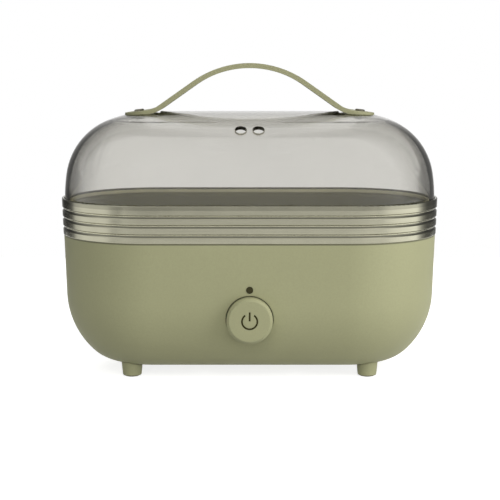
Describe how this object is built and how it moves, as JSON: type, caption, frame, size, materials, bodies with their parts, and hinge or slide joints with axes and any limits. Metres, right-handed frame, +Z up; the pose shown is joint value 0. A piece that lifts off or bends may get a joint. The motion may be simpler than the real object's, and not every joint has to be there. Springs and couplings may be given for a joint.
{
  "type": "egg cooker",
  "caption": "Stadium-shaped electric egg cooker: matte casing with ribbed metal band and push button, lift-out egg tray, clear dome lid with strap handle, water pan and heater inside.",
  "frame": {"origin": "centre of the cooker's outline on the surface that the feet stand on", "axes": "+X along the long side to the right, +Y from the button to the back, +Z up"},
  "size_m": [0.2322, 0.124, 0.1898],
  "materials": {
    "sage_plastic": "fine matte",
    "sage_strap": "soft matte",
    "satin_band": "satin, warm tint",
    "smoked_lid": "clear, smoky",
    "sage_tray": "matte",
    "dark_mark": "printed",
    "dark_lens": "gloss, dark",
    "dark_metal": "satin, dark",
    "pan_steel": "brushed",
    "cast_aluminium": "as cast",
    "element_sheath": "drawn",
    "zinc_screws": "bright zinc",
    "soft_pad": "matte",
    "silicone_seal": "matte",
    "black_plastic": "moulded",
    "white_plastic": "moulded",
    "cover_plastic": "fine matte",
    "board_green": "lacquered",
    "lamp_red": "gloss",
    "wire_black": "insulated",
    "wire_red": "insulated",
    "wire_blue": "insulated"
  },
  "bodies": {
    "base": {"base_shell": "sage_plastic", "board_screws": "zinc_screws", "bottom_cover": "cover_plastic", "bottom_cover_screws": "zinc_screws", "control_board": "board_green", "element_terminals": "element_sheath", "foot_front_left": "sage_plastic", "foot_front_right": "sage_plastic", "foot_pad_front_left": "soft_pad", "foot_pad_front_right": "soft_pad", "foot_pad_rear_left": "soft_pad", "foot_pad_rear_right": "soft_pad", "foot_rear_left": "sage_plastic", "foot_rear_right": "sage_plastic", "foot_screws": "zinc_screws", "fuse_clip": "pan_steel", "heat_shield": "pan_steel", "heater_plate": "cast_aluminium", "heating_element": "element_sheath", "heating_pan": "pan_steel", "indicator_led": "lamp_red", "indicator_lens": "dark_lens", "inlet_housing": "black_plastic", "inlet_pins": "zinc_screws", "inlet_screws": "zinc_screws", "pan_gasket": "silicone_seal", "pan_nuts": "zinc_screws", "pan_studs": "zinc_screws", "power_switch": "black_plastic", "shield_screws": "zinc_screws", "switch_spring": "zinc_screws", "thermal_fuse": "white_plastic", "thermostat": "black_plastic", "thermostat_screws": "zinc_screws", "trim_band": "satin_band", "wire_fuse_to_heater": "wire_red", "wire_socket_to_heater": "wire_blue", "wire_socket_to_switch": "wire_black", "wire_switch_to_thermostat": "wire_black", "wire_thermostat_to_fuse": "wire_red"},
    "tray": {"egg_tray": "sage_tray"},
    "lid": {"lid_shell": "smoked_lid", "carry_strap": "sage_strap", "strap_rivets": "dark_metal", "strap_washers": "white_plastic"},
    "button": {"button_cap": "sage_plastic", "power_symbol": "dark_mark", "switch_plunger": "white_plastic"}
  },
  "joints": [
    {"name": "tray_lift", "type": "slide", "parent": "base", "child": "tray", "axis": [0, 0, 1], "range_m": [0, 0.08]},
    {"name": "lid_lift", "type": "slide", "parent": "tray", "child": "lid", "axis": [0, 0, 1], "range_m": [0, 0.12]},
    {"name": "button_press", "type": "slide", "parent": "base", "child": "button", "axis": [0, 1, 0], "range_m": [0, 0.002], "stiffness_N_per_m": 900, "springref_m": -0.001, "deforming": ["switch_spring"]}
  ]
}
